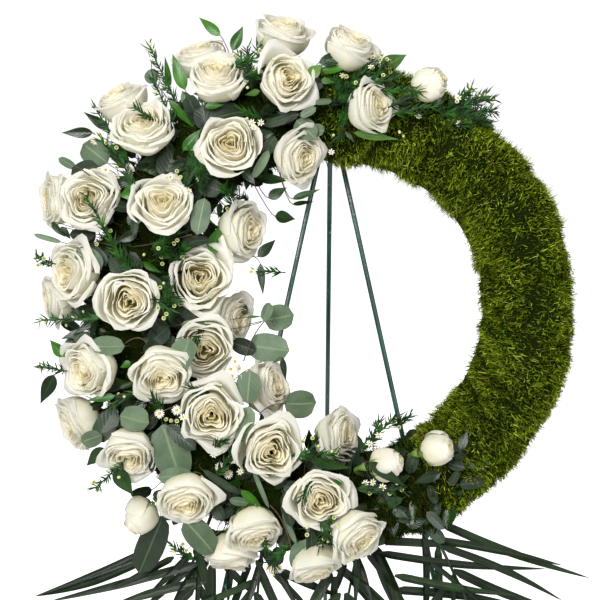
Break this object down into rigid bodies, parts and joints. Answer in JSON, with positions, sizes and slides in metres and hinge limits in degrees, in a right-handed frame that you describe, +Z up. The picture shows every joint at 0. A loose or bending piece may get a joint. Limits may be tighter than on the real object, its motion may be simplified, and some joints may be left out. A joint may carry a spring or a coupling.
{
  "type": "funeral wreath on easel",
  "caption": "Moss-covered wreath dressed on one side with white roses, mixed foliage and palm, hung on a folding three-legged wire easel.",
  "frame": {"origin": "on the floor, under the middle of the object's box", "axes": "+X to the viewer's right, +Y away from the viewer towards the back leg, +Z up"},
  "size_m": [0.7314, 0.6744, 1.491],
  "materials": {
    "rose_petals": "soft ivory petals, cream at the heart",
    "eucalyptus_leaf": "matt grey-green, waxy bloom",
    "ruscus_leaf": "dark green, low sheen",
    "palm_leaf": "dark green, ribbed, low sheen",
    "moss": "dense matt fibres",
    "floral_foam": "fine open cell, soaked",
    "tray_plastic": "moulded",
    "galvanised_wire": "dull zinc",
    "green_enamel": "glossy dark green, chipped"
  },
  "bodies": {
    "stand": {"front_leg_left": "green_enamel", "front_leg_right": "green_enamel", "top_crossbar": "green_enamel", "stop_bar": "green_enamel", "hanging_hook": "green_enamel", "ledge_bar": "green_enamel", "hanging_loop": "galvanised_wire", "foam_ring": "floral_foam", "foam_tray": "tray_plastic", "moss_sheet_1": "moss", "moss_sheet_2": "moss", "moss_sheet_3": "moss", "moss_sheet_4": "moss", "rose_01": "rose_petals", "rose_02": "rose_petals", "rose_03": "rose_petals", "rose_04": "rose_petals", "rose_05": "rose_petals", "rose_06": "rose_petals", "rose_07": "rose_petals", "rose_08": "rose_petals", "rose_09": "rose_petals", "rose_10": "rose_petals", "rose_11": "rose_petals", "rose_12": "rose_petals", "rose_13": "rose_petals", "rose_14": "rose_petals", "rose_15": "rose_petals", "rose_16": "rose_petals", "rose_17": "rose_petals", "rose_18": "rose_petals", "rose_19": "rose_petals", "rose_20": "rose_petals", "rose_21": "rose_petals", "rose_22": "rose_petals", "rose_23": "rose_petals", "rose_24": "rose_petals", "rose_25": "rose_petals", "rose_26": "rose_petals", "rose_27": "rose_petals", "rose_28": "rose_petals", "rose_29": "rose_petals", "rose_30": "rose_petals", "rose_31": "rose_petals", "rose_32": "rose_petals", "rose_33": "rose_petals", "rose_34": "rose_petals", "rose_bud_1": "rose_petals", "rose_bud_2": "rose_petals", "rose_bud_3": "rose_petals", "rose_bud_4": "rose_petals", "eucalyptus_sprig_left": "eucalyptus_leaf", "eucalyptus_sprig_inner": "eucalyptus_leaf", "eucalyptus_sprig_bottom": "eucalyptus_leaf", "ruscus_sprig_right": "ruscus_leaf", "palm_frond_right": "palm_leaf", "palm_frond_centre_right": "palm_leaf", "palm_frond_centre_left": "palm_leaf", "palm_frond_left": "palm_leaf"},
    "back_leg": {"back_leg": "green_enamel"}
  },
  "joints": [
    {"name": "back_leg_hinge", "type": "hinge", "parent": "stand", "child": "back_leg", "pos_m": [0.02889, -0.09487, 1.31964], "axis": [-1, 0, 0], "range_deg": [0, 26]}
  ]
}
